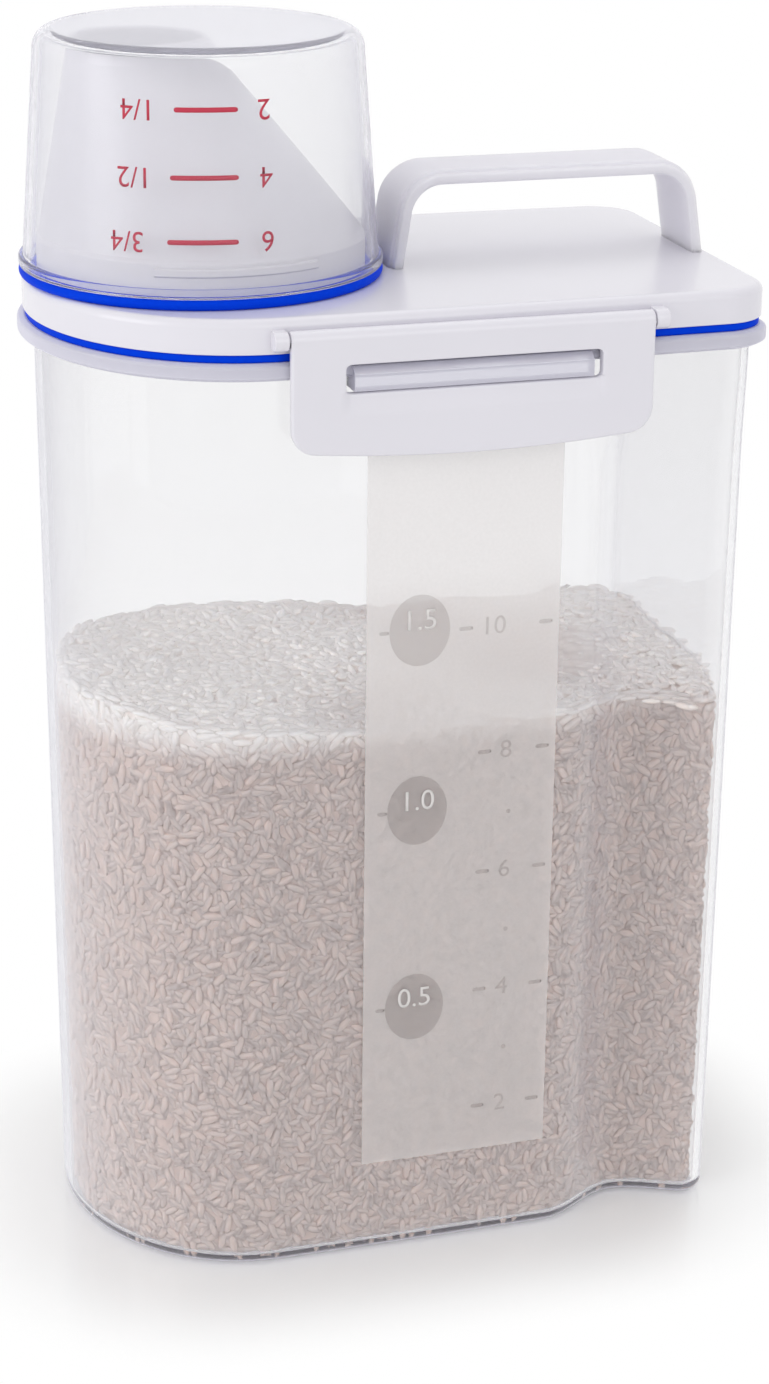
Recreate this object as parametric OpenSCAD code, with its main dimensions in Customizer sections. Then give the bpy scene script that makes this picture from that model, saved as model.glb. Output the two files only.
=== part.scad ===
// Rice bin: an egg-shaped clear container, a lid with a slanted pour spout under an
// upside-down measuring cup, a strap handle, and a flip latch on each long side.
// Origin: middle of the underside. X runs along the bin, spout end at -X. Front is -Y.

/* [Plan] */
// Length of the lid
lid_l = 165; // [150:1:190]
// Width of the lid at its round end
lid_w = 104.6; // [98:0.2:116]
// How much narrower the lid is at its square end
lid_narrowing = 3.8; // [1:0.2:8]
// Length of the round end
round_l = 46.8; // [42:0.2:55]
// Radius of the two corners at the square end
corner_r = 12; // [9:0.5:16]

/* [Container] */
// Height of the container's rim
body_h = 227.6; // [190:1:260]
// Thickness of the container's wall
wall = 1.6; // [1.2:0.1:2.2]
// Thickness of the container's floor
floor_t = 2; // [1.4:0.1:3]
// Distance of the wall inside the lid's outline, just below the flange
body_inset = 2.5; // [2:0.1:3.5]
// Draft of the container's wall in degrees
body_draft = 0.35; // [0.2:0.05:0.6]
// Radius of the container's bottom edge
base_r = 3.4; // [2.4:0.2:5]
// Height of the rim flange
flange_h = 4.3; // [3.6:0.1:6]
// Distance of the rim flange outside the lid's outline
flange_out = 1.3; // [0.8:0.1:1.8]
// Depth of the grip waist on each side
grip_depth = 9.5; // [6:0.5:11]
// Distance from the square end at which the grip waist begins
grip_from_end = 49; // [44:0.5:52]
// Length of the S-shaped wall that leads into the waist
grip_run = 21; // [18:0.5:26]
// Length of the S-shaped wall that leads out of the waist again
grip_out = 25; // [20:0.5:27]
// Share of the waist's depth that is gone again at the square end
grip_back = 0.9; // [0.5:0.05:1]
// Height under the rim over which the waist fades out
grip_fade = 28; // [20:1:40]

/* [Level scale] */
// Width of the frosted scale panel
scale_w = 47; // [30:1:50]
// Distance of the panel's lower edge from the floor
scale_z = 24.5; // [15:0.5:40]
// Distance of the panel's upper edge below the rim flange
scale_drop = 10.8; // [6:0.2:16]
// Thickness of the panel
scale_t = 0.3; // [0.2:0.05:0.5]
// Place of the panel's middle along the bin
scale_x = 8.4; // [4:0.2:9]

/* [Lid] */
// Height of the lid's outer skirt and top together
lid_h = 7.8; // [7.4:0.1:10]
// Thickness of the lid's top plate
lid_t = 2; // [1.6:0.1:2.4]
// Thickness of the lid's skirt
skirt_t = 2; // [1.8:0.1:2.2]
// Radius of the lid's top edge
lid_edge_r = 2; // [1.2:0.1:2.2]
// Thickness of the plug wall that enters the container
plug_t = 1.4; // [1:0.1:2]
// How far the plug wall reaches below the rim
plug_drop = 4; // [2:0.5:6]
// Thickness of the gasket between rim and skirt
seal_t = 1.9; // [1.4:0.1:2.6]
// Height of the gasket's inner lip above the skirt's lower edge
seal_lip_h = 3; // [2:0.2:3.4]

/* [Pour spout] */
// Distance of the spout's axis from the lid's round end
spout_from_end = 41.4; // [41:0.1:44]
// Radius of the spout's round collar
collar_r = 38; // [36.5:0.1:38.3]
// Height of the collar above the lid
collar_h = 10.4; // [8:0.2:12]
// Thickness of the spout's wall
spout_wall = 1.6; // [1.2:0.1:2]
// Height of the spout's mouth above the lid
spout_h = 53.2; // [40:0.2:53.4]
// Radius of the spout's mouth
mouth_r = 15.7; // [12:0.1:18]
// How far the mouth is shifted towards the round end
mouth_shift = 14.3; // [6:0.1:16]
// Width of the snap lugs round the collar, in degrees
lug_angle = 58; // [30:1:80]

/* [Measuring cup] */
// Thickness of the silicone ring under the cup
ring_t = 2.5; // [2:0.1:3]
// Height of the measuring cup
cup_h = 53.7; // [53:0.1:58]
// Gap between the spout's collar and the cup's wall
cup_gap = 1.6; // [1.4:0.1:2]
// Thickness of the cup's wall
cup_wall = 1.6; // [1.2:0.1:2]
// How far the cup's rim flange and the ring stand out from the cup's wall
cup_flange_out = 1; // [0.8:0.1:2]
// How much smaller the cup's radius is at its base
cup_taper = 3.8; // [1.2:0.1:5.2]
// Thickness of the cup's base
cup_base_t = 1.8; // [1.4:0.1:2]
// Radius of the cup's bottom edge
cup_edge_r = 4.4; // [3:0.1:5]
// Thickness of the cup's rim flange
cup_flange_t = 2.3; // [1.8:0.1:3]

/* [Carry handle] */
// Length of the handle at its feet
handle_l = 77.4; // [66:0.2:78]
// Height of the handle above the lid
handle_h = 21.7; // [19:0.1:34]
// Width of the handle's strap
strap_w = 21; // [16:0.5:28]
// Thickness of the strap along its two borders
strap_t = 2.4; // [2:0.1:3.2]
// Extra thickness of the strap's middle
crown_t = 0.7; // [0.4:0.1:1.2]
// Width of each thin border of the strap
border_w = 2.2; // [1.5:0.1:4]
// Inward lean of the handle's legs in degrees
handle_lean = 8.7; // [4:0.1:12]
// Outer radius of the handle's upper corners
handle_r = 10; // [7:0.5:12]
// Gap between the silicone ring and the handle's nearer foot
handle_gap = 1.4; // [1:0.1:4]

/* [Flip latches] */
// Width of each latch
latch_w = 85; // [76:0.5:88]
// Height of the latch below its pivot
latch_drop = 27.6; // [24:0.1:32]
// Thickness of the latch
latch_t = 2.2; // [2:0.1:2.4]
// Place of the latches' middle along the bin
latch_x = 8; // [6:0.2:9]
// Distance of the pivot outside the lid's widest side
pivot_out = 1.8; // [1.7:0.05:2]
// Distance of the pivot below the lid's top
pivot_drop = 4.5; // [4.3:0.1:4.7]
// Radius of the trunnion pins
pin_r = 1.25; // [1:0.05:1.3]
// Radial clearance of the pins in the lid's ears
pin_fit = 0.05; // [0.03:0.01:0.08]
// Width of the ears on the lid
ear_w = 3.3; // [2.6:0.1:4]
// Gap between the latch and the ears beside it
ear_gap = 0.3; // [0.2:0.05:0.4]
// Width of the slot in the latch
slot_w = 60; // [50:0.5:64]
// Height of the slot in the latch
slot_h = 6.6; // [6.4:0.1:7]
// Distance of the slot's upper edge below the pivot
slot_drop = 5.7; // [5.5:0.1:6]
// Sag of the latch's curved lower edge
latch_bow = 2.4; // [0:0.1:4]
// Radius of the latch's lower corners
latch_corner_r = 6; // [4:0.5:9]
// Height of the bevel below the slot
scoop_h = 5; // [3:0.2:6]
// Depth of the bevel below the slot
scoop_t = 0.9; // [0.4:0.1:1.2]
// Gap between each catch rib's ends and the slot's ends
catch_end_gap = 2; // [1:0.1:4]
// Gap between the catch ribs and the path of the slot's edges
catch_gap = 0.3; // [0.2:0.05:0.4]

/* [Hidden] */

// Named clearances and small fixed forms
film_gap = 0.02;
seal_gap = 0.2;
plug_gap = 0.5;
snap_gap = 0.2;
snap_lip = 2;
snap_drop = 4;
ring_gap = 0.02;
lug_t = 0.7;
lug_h = 2.6;
lug_below = 0.2;
pocket_gap = 0.4;
slot_r = 1.2;
catch_tip_gap = 0.2;
eps = 0.01;

// Steps of the curved outlines
round_steps = 14;
side_steps = 6;
grip_steps = 8;
waist_steps = 5;
corner_steps = 6;
spout_sides = 72;

// Heights
flange_z = body_h - flange_h;
skirt_z = body_h + seal_t;
lid_top = skirt_z + lid_h;
cup_z = lid_top + ring_t;
cup_top = cup_z + cup_h;
pivot_z = lid_top - pivot_drop;

// Places along X and Y
half_w = lid_w / 2;
end_x = lid_l / 2;
round_x = round_l - end_x;
corner_x = end_x - corner_r;
spout_x = spout_from_end - end_x;
grip_x = end_x - grip_from_end;
waist_x = grip_x + grip_run;
pivot_y = half_w + pivot_out;
plug_inset = body_inset + wall + plug_gap;
cup_open_r = collar_r + cup_gap + cup_wall;
cup_base_r = cup_open_r - cup_taper;
ring_r = cup_open_r + cup_flange_out;
handle_x = spout_x + ring_r + handle_gap + handle_l / 2;
side_slope = atan(lid_narrowing / (end_x - round_x));

function smooth(t) = t <= 0 ? 0 : t >= 1 ? 1 : t * t * (3 - 2 * t);

// Half width of the bin at x on its long side, inset by i
function side_y(x, i) = half_w - i - lid_narrowing / 2 * pow((x - round_x) / (end_x - round_x), 2);

// Share of the grip waist's depth at x
function waist(x) = smooth((x - grip_x) / grip_run) - grip_back * smooth((x - waist_x) / grip_out);

// Places along X of the points on the long side
side_x = concat(
    [for (k = [0 : side_steps - 1]) round_x + (grip_x - round_x) * k / side_steps],
    [for (k = [0 : grip_steps - 1]) grip_x + grip_run * k / grip_steps],
    [for (k = [0 : waist_steps - 1]) waist_x + (corner_x - waist_x) * k / waist_steps]);

// Front half of the outline, inset by i, from the tip of the round end to the square end
function front_half(i) =
    let (r = corner_r - i,
        corner_y = r * cos(side_slope) - side_y(corner_x + r * sin(side_slope), i))
    concat(
        [for (k = [0 : round_steps - 1]) let (a = 90 * k / round_steps)
            [round_x - (round_l - i) * cos(a), (i - half_w) * sin(a)]],
        [for (x = side_x) [x, -side_y(x, i)]],
        [for (k = [0 : corner_steps]) let (a = side_slope + (90 - side_slope) * k / corner_steps)
            [corner_x + r * sin(a), corner_y - r * cos(a)]]);

// Whole outline at height z, inset by i, with the sides drawn in by the waist's depth
function ring_at(z, i, depth = 0) =
    let (front = [for (p = front_half(i)) [p.x, p.y + depth * waist(p.x) * sign(-p.y), z]],
        last = len(front) - 1)
    concat(front, [for (k = [last : -1 : 1]) [front[k].x, -front[k].y, z]]);

// Circle of radius r round (x, 0) at height z
function circle_at(x, z, r) = [for (k = [0 : spout_sides - 1]) let (a = 360 * k / spout_sides)
    [x + r * cos(a), r * sin(a), z]];

// Closed solid through a stack of rings. An endless one joins its last ring to its first.
module skin(rings, endless = false) {
    n = len(rings[0]);
    m = len(rings);
    sides = [for (k = [0 : m - (endless ? 1 : 2)]) for (j = [0 : n - 1])
        let (a = k * n, b = (k + 1) % m * n, q = (j + 1) % n) [a + j, b + j, b + q, a + q]];
    caps = endless ? [] : [[for (j = [0 : n - 1]) j], [for (j = [n - 1 : -1 : 0]) (m - 1) * n + j]];
    polyhedron([for (ring = rings) for (p = ring) p], concat(sides, caps), convexity = 8);
}

// Same shape on the front and on the back
module both_sides() {
    children();
    mirror([0, 1, 0]) children();
}

// Clear tub: drafted walls, a grip waist near the square end, a rolled rim flange,
// and a catch rib under the flange on each long side.
function wall_inset(z) = body_inset + (flange_z - z) * tan(body_draft);
function waist_depth(z) = grip_depth * (1 - smooth((z - flange_z + grip_fade) / (grip_fade - wall)));
fade_z = [for (k = [0 : 5]) flange_z - grip_fade + (grip_fade - wall) * k / 5];

module container() {
    inner_r = base_r - wall;
    color([0.86, 0.87, 0.9, 0.4]) union() {
        skin(concat(
            [for (a = [0 : 30 : 60]) let (z = base_r * (1 - cos(a)))
                ring_at(z, wall_inset(z) + base_r * (1 - sin(a)), grip_depth)],
            [ring_at(base_r, wall_inset(base_r), grip_depth)],
            [for (z = fade_z) ring_at(z, wall_inset(z), waist_depth(z))],
            [ring_at(flange_z, body_inset)],
            [ring_at(flange_z + 0.3, 0)],
            [ring_at(flange_z + 1.3, -flange_out)],
            [ring_at(body_h - 1.3, -flange_out)],
            [ring_at(body_h - 0.3, -flange_out / 2)],
            [ring_at(body_h, seal_gap)],
            [ring_at(body_h, body_inset + wall)],
            [ring_at(flange_z, body_inset + wall)],
            [for (k = [len(fade_z) - 1 : -1 : 0]) let (z = fade_z[k])
                ring_at(z, wall_inset(z) + wall, waist_depth(z))],
            [for (a = [90 : -30 : 0]) let (z = floor_t + inner_r * (1 - cos(a)))
                ring_at(z, wall_inset(z) + wall + inner_r * (1 - sin(a)), grip_depth)]));
        both_sides() catch_rib();
    }
}

// Rib that the latch's slot hooks under. Its lower and upper faces stay clear of the arcs
// on which the slot's edges swing round the pivot.
module catch_rib() {
    length = slot_w - 2 * catch_end_gap;
    tip_y = pivot_y + latch_t - catch_tip_gap;
    low_r = slot_drop + slot_h - catch_gap;
    high_r = norm([slot_drop, latch_t]) + catch_gap;
    root_y = half_w - body_inset - 1.5 * lid_narrowing / 4;
    tip_rise = sqrt(pow(low_r, 2) - pow(tip_y - pivot_y, 2));
    translate([latch_x - length / 2, 0, pivot_z]) rotate([90, 0, 90]) linear_extrude(length) polygon([
        [-root_y, -low_r],
        [-pivot_y, -low_r],
        [-tip_y, -tip_rise],
        [-tip_y, -high_r - 1.6],
        [-pivot_y, -high_r],
        [-root_y, -high_r]]);
}

// Frosted panel that carries the level scale, on the outside of the front wall
module level_scale() {
    steps = 6;
    color([0.9, 0.88, 0.88, 0.7]) skin([for (z = [scale_z, flange_z - scale_drop])
        concat(
            [for (k = [0 : steps]) let (x = scale_x + scale_w * (k / steps - 0.5))
                [x, -side_y(x, wall_inset(z)) - film_gap - scale_t, z]],
            [for (k = [steps : -1 : 0]) let (x = scale_x + scale_w * (k / steps - 0.5))
                [x, -side_y(x, wall_inset(z)) - film_gap, z]])]);
}

// Lid: top plate, outer skirt, plug wall that enters the container, hole for the spout,
// and two pairs of ears that hold the latches' pins
module lid() {
    ceiling = lid_top - lid_t;
    pocket_y = pivot_y - latch_t - pocket_gap;
    color([0.92, 0.92, 0.95]) difference() {
        union() {
            skin(concat(
                [ring_at(ceiling, plug_inset + plug_t)],
                [ring_at(body_h - plug_drop, plug_inset + plug_t)],
                [ring_at(body_h - plug_drop, plug_inset)],
                [ring_at(ceiling, plug_inset)],
                [ring_at(ceiling, skirt_t)],
                [ring_at(skirt_z, skirt_t)],
                [ring_at(skirt_z, 0)],
                [for (a = [0 : 30 : 90])
                    ring_at(lid_top - lid_edge_r * (1 - sin(a)), lid_edge_r * (1 - cos(a)))]));
            both_sides() ears();
        }
        translate([spout_x, 0, ceiling - 1]) cylinder(h = lid_t + 2, r = collar_r - snap_lip, $fn = 96);
        both_sides() {
            translate([latch_x - latch_w / 2 - ear_gap, -half_w - 1, skirt_z - 1])
                cube([latch_w + 2 * ear_gap, half_w + 1 - pocket_y, ceiling - skirt_z + 1]);
            translate([latch_x, -pivot_y, pivot_z]) rotate([0, 90, 0])
                cylinder(h = latch_w + 4 * ear_w, r = pin_r + pin_fit, center = true, $fn = 48);
        }
    }
}

// Pair of ears, one beside each end of the latch, with feet that end inside the skirt
module ears() {
    for (side = [-1, 1]) {
        x = latch_x + side * (latch_w / 2 + ear_gap + ear_w / 2);
        foot = pivot_y - side_y(max(x, round_x), skirt_t / 2);
        translate([x, -pivot_y, pivot_z]) {
            rotate([0, 90, 0]) cylinder(h = ear_w, r = latch_t, center = true, $fn = 48);
            translate([-ear_w / 2, 0, -latch_t]) cube([ear_w, foot, 2 * latch_t]);
        }
    }
}

// Silicone gasket: a flat band on the rim and a lip in the lid's channel
module lid_seal() {
    inner = plug_inset - seal_gap;
    color([0.05, 0.2, 0.75]) skin([
        ring_at(body_h, 0.5),
        ring_at(skirt_z, 0.5),
        ring_at(skirt_z, skirt_t + seal_gap),
        ring_at(skirt_z + seal_lip_h, skirt_t + seal_gap),
        ring_at(skirt_z + seal_lip_h, inner),
        ring_at(body_h, inner)], endless = true);
}

// Slanted funnel: a snap skirt in the lid's hole, a round collar on the lid's top,
// and an oblique cone up to the mouth
module pour_spout() {
    skirt_r = collar_r - snap_lip - snap_gap;
    shoulder = 1.2;
    mouth_x = spout_x - mouth_shift;
    mouth_z = lid_top + spout_h;
    cone_z = lid_top + collar_h;
    color([0.93, 0.93, 0.95]) union() {
        skin([
            circle_at(spout_x, lid_top - snap_drop, skirt_r),
            circle_at(spout_x, lid_top, skirt_r),
            circle_at(spout_x, lid_top, collar_r),
            circle_at(spout_x, cone_z - shoulder, collar_r),
            circle_at(spout_x, cone_z, collar_r - shoulder / 2),
            circle_at(mouth_x, mouth_z, mouth_r),
            circle_at(mouth_x, mouth_z, mouth_r - spout_wall),
            circle_at(spout_x, cone_z - spout_wall, collar_r - shoulder - spout_wall),
            circle_at(spout_x, lid_top, collar_r - snap_lip - spout_wall),
            circle_at(spout_x, lid_top - snap_drop, collar_r - snap_lip - spout_wall)], endless = true);
        for (side = [-90, 90])
            translate([spout_x, 0, cone_z - shoulder - lug_below - lug_h])
                rotate([0, 0, side - lug_angle / 2]) rotate_extrude(angle = lug_angle, $fn = 96)
                    translate([collar_r - lug_t, 0]) square([2 * lug_t, lug_h]);
    }
}

// Silicone ring round the collar. Its outer edge is half round.
module cup_seal_ring() {
    edge = ring_t / 2;
    color([0.05, 0.2, 0.75]) translate([spout_x, 0, lid_top]) rotate_extrude($fn = 120)
        polygon(concat(
            [[collar_r + ring_gap, 0]],
            [for (a = [-90 : 22.5 : 90]) [ring_r - edge + edge * cos(a), edge + edge * sin(a)]],
            [[collar_r + ring_gap, ring_t]]));
}

// Measuring cup, upside down over the spout
module measuring_cup() {
    taper = atan((cup_open_r - cup_base_r) / cup_h);
    inner_r = cup_edge_r - cup_wall;
    arc = [for (k = [0 : 5]) taper + (90 - taper) * k / 5];
    edge_r = cup_base_r - cup_edge_r * (1 - sin(taper)) / cos(taper);
    color([0.88, 0.88, 0.92, 0.5]) translate([spout_x, 0, cup_z]) rotate_extrude($fn = 120)
        polygon(concat(
            [[cup_open_r - cup_wall, 0], [ring_r, 0], [ring_r, cup_flange_t], [cup_open_r, cup_flange_t]],
            [for (a = arc) [edge_r + cup_edge_r * cos(a), cup_h - cup_edge_r * (1 - sin(a))]],
            [[0, cup_h], [0, cup_h - cup_base_t]],
            [for (k = [5 : -1 : 0]) let (a = arc[k])
                [edge_r + inner_r * cos(a), cup_h - cup_base_t - inner_r * (1 - sin(a))]]));
}

// Side view of the handle's outer line: straight legs that lean in, and a straight top
function arch(half, h, r) =
    let (corner = (half * cos(handle_lean) - r - (h - r) * sin(handle_lean)) / cos(handle_lean),
        right = [for (k = [0 : 8]) let (a = handle_lean + (90 - handle_lean) * k / 8)
            [corner + r * cos(a), h - r + r * sin(a)]])
    concat([[-half, 0], [half, 0]], right, [for (k = [8 : -1 : 0]) [-right[k].x, right[k].y]]);

// Strap of the given width, from t outside the handle's line to the full strap inside it
module strap(width, t) {
    inner = strap_t / cos(handle_lean);
    outer = t / cos(handle_lean);
    translate([handle_x, width / 2, lid_top]) rotate([90, 0, 0]) linear_extrude(width) difference() {
        polygon(arch(handle_l / 2 + outer, handle_h + t, handle_r + t));
        translate([0, -eps]) polygon(arch(handle_l / 2 - inner, handle_h - strap_t + eps, handle_r - strap_t));
    }
}

// Strap handle with a raised middle band
module carry_handle() {
    color([0.93, 0.93, 0.95]) union() {
        strap(strap_w, 0);
        strap(strap_w - 2 * border_w, crown_t);
    }
}

// Face of the latch below its pivot: rounded lower corners on a bowed lower edge
function latch_face() =
    let (half = latch_w / 2,
        r = latch_corner_r,
        low = latch_bow - latch_drop,
        right = concat(
            [for (k = [0 : 8]) let (x = (half - r) * k / 8) [x, -latch_drop + latch_bow * pow(x / half, 2)]],
            [for (k = [1 : 6]) let (a = 15 * k)
                [half - r + r * sin(a), low - latch_bow * (1 - pow((half - r) / half, 2)) + r * (1 - cos(a))]],
            [[half, 0]]))
    concat([for (k = [len(right) - 1 : -1 : 1]) [-right[k].x, right[k].y]], right);

// Flip latch at its pivot: pins, top roll, plate, slot and the bevel below the slot
module latch() {
    difference() {
        union() {
            rotate([90, 0, 0]) linear_extrude(latch_t) polygon(latch_face());
            rotate([0, 90, 0]) cylinder(h = latch_w, r = latch_t, center = true, $fn = 48);
            rotate([0, 90, 0]) cylinder(h = latch_w + 2 * (ear_gap + ear_w), r = pin_r, center = true, $fn = 48);
        }
        translate([0, 1, -slot_drop - slot_h / 2]) rotate([90, 0, 0]) linear_extrude(latch_t + 2) slot_shape();
        translate([-slot_w / 2, 0, 0]) rotate([90, 0, 90]) linear_extrude(slot_w) polygon([
            [-latch_t - 1, -slot_drop - slot_h + 1],
            [scoop_t - latch_t, -slot_drop - slot_h + 1],
            [scoop_t - latch_t, -slot_drop - slot_h],
            [-latch_t, -slot_drop - slot_h - scoop_h],
            [-latch_t - 1, -slot_drop - slot_h - scoop_h]]);
    }
}

// Rounded outline of the slot
module slot_shape() {
    for (side = [-1, 1]) for (rise = [-1, 1])
        translate([side * (slot_w / 2 - slot_r), rise * (slot_h / 2 - slot_r)]) circle(slot_r, $fn = 32);
    square([slot_w, slot_h - 2 * slot_r], center = true);
    square([slot_w - 2 * slot_r, slot_h], center = true);
}

module front_latch() {
    color([0.92, 0.92, 0.95]) translate([latch_x, -pivot_y, pivot_z]) latch();
}

module back_latch() {
    mirror([0, 1, 0]) front_latch();
}

container();
level_scale();
lid();
lid_seal();
pour_spout();
cup_seal_ring();
measuring_cup();
carry_handle();
front_latch();
back_latch();
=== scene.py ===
import math

import bmesh
import bpy
import numpy as np
from mathutils import Matrix, Vector


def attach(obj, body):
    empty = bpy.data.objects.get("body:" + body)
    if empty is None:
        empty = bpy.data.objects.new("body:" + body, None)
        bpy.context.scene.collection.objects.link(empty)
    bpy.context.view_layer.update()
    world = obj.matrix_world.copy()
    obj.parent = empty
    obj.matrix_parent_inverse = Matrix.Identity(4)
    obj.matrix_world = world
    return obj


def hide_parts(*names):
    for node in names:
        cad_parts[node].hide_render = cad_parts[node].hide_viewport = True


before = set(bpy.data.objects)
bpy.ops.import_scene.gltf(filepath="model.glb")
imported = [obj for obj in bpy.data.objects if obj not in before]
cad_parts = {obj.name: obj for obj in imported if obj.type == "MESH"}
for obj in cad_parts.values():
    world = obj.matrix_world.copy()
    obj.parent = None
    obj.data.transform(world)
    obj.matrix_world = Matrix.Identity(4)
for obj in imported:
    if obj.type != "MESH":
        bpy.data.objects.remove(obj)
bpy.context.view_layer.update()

# Container: an egg-shaped tub of clear styrene plastic, moulded in one piece. Its walls have a slight
# draft, a grip waist is drawn in near the square end and fades under the rim, and the rim is a rounded
# flange. A rib on each long side takes the latch. All lengths are in millimetres until a mesh is made.
MM = 0.001
root = "root"
half_length = 82.5
half_width = 52.3
narrowing = 3.8
round_length = 46.8
corner_radius = 12
round_x = round_length - half_length
corner_x = half_length - corner_radius
side_slope = math.atan(narrowing / (half_length - round_x))

rim_z = 227.6
flange_z = 223.3
wall = 1.6
floor_thickness = 2
base_radius = 3.4
wall_inset_top = 2.5
draft = math.tan(math.radians(0.35))
flange_out = 1.3
seal_gap = 0.2

grip_depth = 9.5
grip_x = 33.5
grip_run = 21
waist_x = grip_x + grip_run
grip_out = 25
grip_back = 0.9
grip_fade = 28


def smooth(t):
    """Soft step from 0 to 1."""
    t = np.clip(t, 0, 1)
    return t * t * (3 - 2 * t)


def side_y(x, inset):
    """Half width of the bin at x on its long side."""
    return half_width - inset - narrowing / 2 * ((x - round_x) / (half_length - round_x)) ** 2


def waist(x):
    """Share of the grip waist's depth at x."""
    return smooth((x - grip_x) / grip_run) - grip_back * smooth((x - waist_x) / grip_out)


def outline(inset, depth=0):
    """The bin's outline as x, y points: along the front from the round end's tip, then back."""
    turn = np.linspace(0, np.pi / 2, 49)[:-1]
    end_x = round_x - (round_length - inset) * np.cos(turn)
    end_y = (inset - half_width) * np.sin(turn)
    long_x = np.concatenate([np.linspace(round_x, grip_x, 17)[:-1], np.linspace(grip_x, corner_x, 25)[:-1]])
    bend = np.linspace(side_slope, np.pi / 2, 17)
    radius = corner_radius - inset
    centre_y = radius * np.cos(side_slope) - side_y(corner_x + radius * np.sin(side_slope), inset)
    x = np.concatenate([end_x, long_x, corner_x + radius * np.sin(bend)])
    y = np.concatenate([end_y, -side_y(long_x, inset), centre_y - radius * np.cos(bend)])
    y = y + depth * waist(x) * np.sign(-y)
    front = np.stack([x, y], 1)
    back = front[:0:-1] * [1, -1]
    return np.concatenate([front, back])


def lifted(flat, z):
    """Points of a flat line lifted by z, which is one number or one for each point."""
    return np.column_stack([flat, np.broadcast_to(z, len(flat))])


def ring(z, inset, depth=0):
    """The outline as a ring of points at height z."""
    return lifted(outline(inset, depth), z)


def rounded(corners, closed=True, steps=5):
    """A polyline of (u, v, radius) corners with each corner rounded."""
    path = []
    count = len(corners)
    for k, (u, v, radius) in enumerate(corners):
        here = np.array([u, v])
        if radius == 0 or (not closed and k in (0, count - 1)):
            path.append(here)
            continue
        before = np.array(corners[k - 1][:2]) - here
        after = np.array(corners[(k + 1) % count][:2]) - here
        before = before / np.linalg.norm(before)
        after = after / np.linalg.norm(after)
        half_angle = math.acos(np.clip(before @ after, -1, 1)) / 2
        reach = radius / math.tan(half_angle)
        centre = here + (before + after) / np.linalg.norm(before + after) * radius / math.sin(half_angle)
        start = here + before * reach - centre
        end = here + after * reach - centre
        sweep = math.pi - 2 * half_angle
        for step in range(steps + 1):
            share = step / steps
            blend = (start * math.sin((1 - share) * sweep) + end * math.sin(share * sweep)) / math.sin(sweep)
            path.append(centre + blend)
    return path


def finer(path, step):
    """The same polyline with points added so that no stretch is longer than step."""
    fine = []
    for a, b in zip(path, path[1:]):
        parts = max(1, math.ceil(np.linalg.norm(np.subtract(b, a)) / step))
        fine += [np.add(a, np.subtract(b, a) * k / parts) for k in range(parts)]
    return fine + [path[-1]]


def skin(rings, endless=False):
    """Points and faces of a closed solid through a stack of rings. An endless one joins last to first."""
    count = len(rings[0])
    stack = len(rings)
    faces = []
    for k in range(stack if endless else stack - 1):
        low = k * count
        high = (k + 1) % stack * count
        for j in range(count):
            nxt = (j + 1) % count
            faces.append((low + j, high + j, high + nxt, low + nxt))
    if not endless:
        faces.append(tuple(range(count)))
        faces.append(tuple((stack - 1) * count + j for j in reversed(range(count))))
    return np.concatenate(rings), faces


def piece(name, solids, body, sharp=40):
    """One object from several closed solids, shaded smooth except over edges sharper than sharp degrees."""
    points = []
    faces = []
    for solid_points, solid_faces in solids:
        base = len(points)
        points += [tuple(p * MM) for p in solid_points]
        faces += [tuple(base + i for i in face) for face in solid_faces]
    mesh = bpy.data.meshes.new(name)
    mesh.from_pydata(points, [], faces)
    work = bmesh.new()
    work.from_mesh(mesh)
    bmesh.ops.recalc_face_normals(work, faces=work.faces)
    work.to_mesh(mesh)
    work.free()
    mesh.polygons.foreach_set("use_smooth", [True] * len(mesh.polygons))
    mesh.set_sharp_from_angle(angle=math.radians(sharp))
    made = bpy.data.objects.new(name, mesh)
    bpy.context.collection.objects.link(made)
    even = made.modifiers.new("even_normals", "WEIGHTED_NORMAL")
    even.keep_sharp = True
    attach(made, body)
    return made


class Value:
    """A shader socket that takes part in Python arithmetic."""

    def __init__(self, finish, socket):
        self.finish = finish
        self.socket = socket

    def _math(self, operation, first, second):
        return self.finish.node("Math", {"operation": operation}, {0: first, 1: second})

    def __add__(self, other):
        return self._math("ADD", self, other)

    __radd__ = __add__

    def __sub__(self, other):
        return self._math("SUBTRACT", self, other)

    def __rsub__(self, other):
        return self._math("SUBTRACT", other, self)

    def __mul__(self, other):
        return self._math("MULTIPLY", self, other)

    __rmul__ = __mul__


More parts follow.
